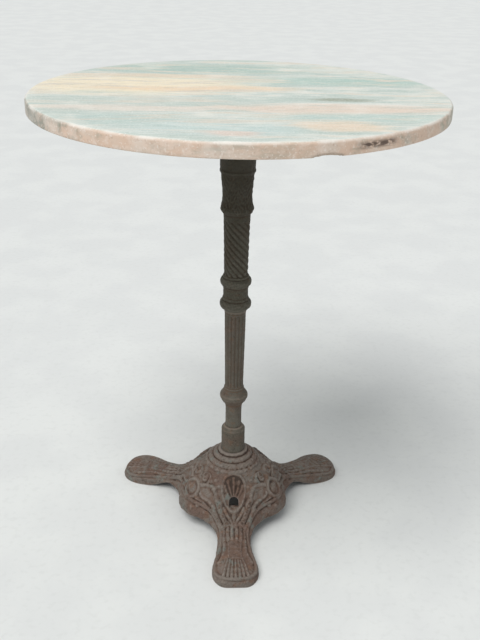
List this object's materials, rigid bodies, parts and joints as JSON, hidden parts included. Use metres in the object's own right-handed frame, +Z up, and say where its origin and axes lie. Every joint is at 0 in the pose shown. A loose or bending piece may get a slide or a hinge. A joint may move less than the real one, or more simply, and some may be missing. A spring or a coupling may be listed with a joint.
{
  "type": "bistro table",
  "caption": "Round marble bistro table on a twisted and fluted cast-iron column with a domed three-footed cast-iron base.",
  "frame": {"origin": "on the floor, on the axis of the column, in the plane that the three feet stand on", "axes": "+Z up along the column, -Y along the front leg, +X to the right as seen from the front leg"},
  "size_m": [0.6, 0.6, 0.72],
  "materials": {
    "marble": "worn honed marble, grey-green with cream, pink and olive veins, sandy edge",
    "iron": "unpainted cast iron with dull brown and orange rust",
    "steel": "zinc plated, a little rusted",
    "brass": "plain turned brass",
    "rubber": "black, matt"
  },
  "bodies": {
    "root": {"marble_top": "marble", "top_spider": "iron", "upper_column": "iron", "lower_column": "iron", "foot_collar": "iron", "base_casting": "iron", "tie_rod": "steel", "top_washer": "steel", "top_nut": "steel", "plate_washer": "steel", "lock_washer": "steel", "base_nut": "steel", "threaded_insert_1": "brass", "rubber_pad_1": "rubber", "screw_washer_1": "steel", "top_screw_1": "steel", "threaded_insert_2": "brass", "rubber_pad_2": "rubber", "screw_washer_2": "steel", "top_screw_2": "steel", "threaded_insert_3": "brass", "rubber_pad_3": "rubber", "screw_washer_3": "steel", "top_screw_3": "steel", "threaded_insert_4": "brass", "rubber_pad_4": "rubber", "screw_washer_4": "steel", "top_screw_4": "steel"}
  },
  "joints": []
}
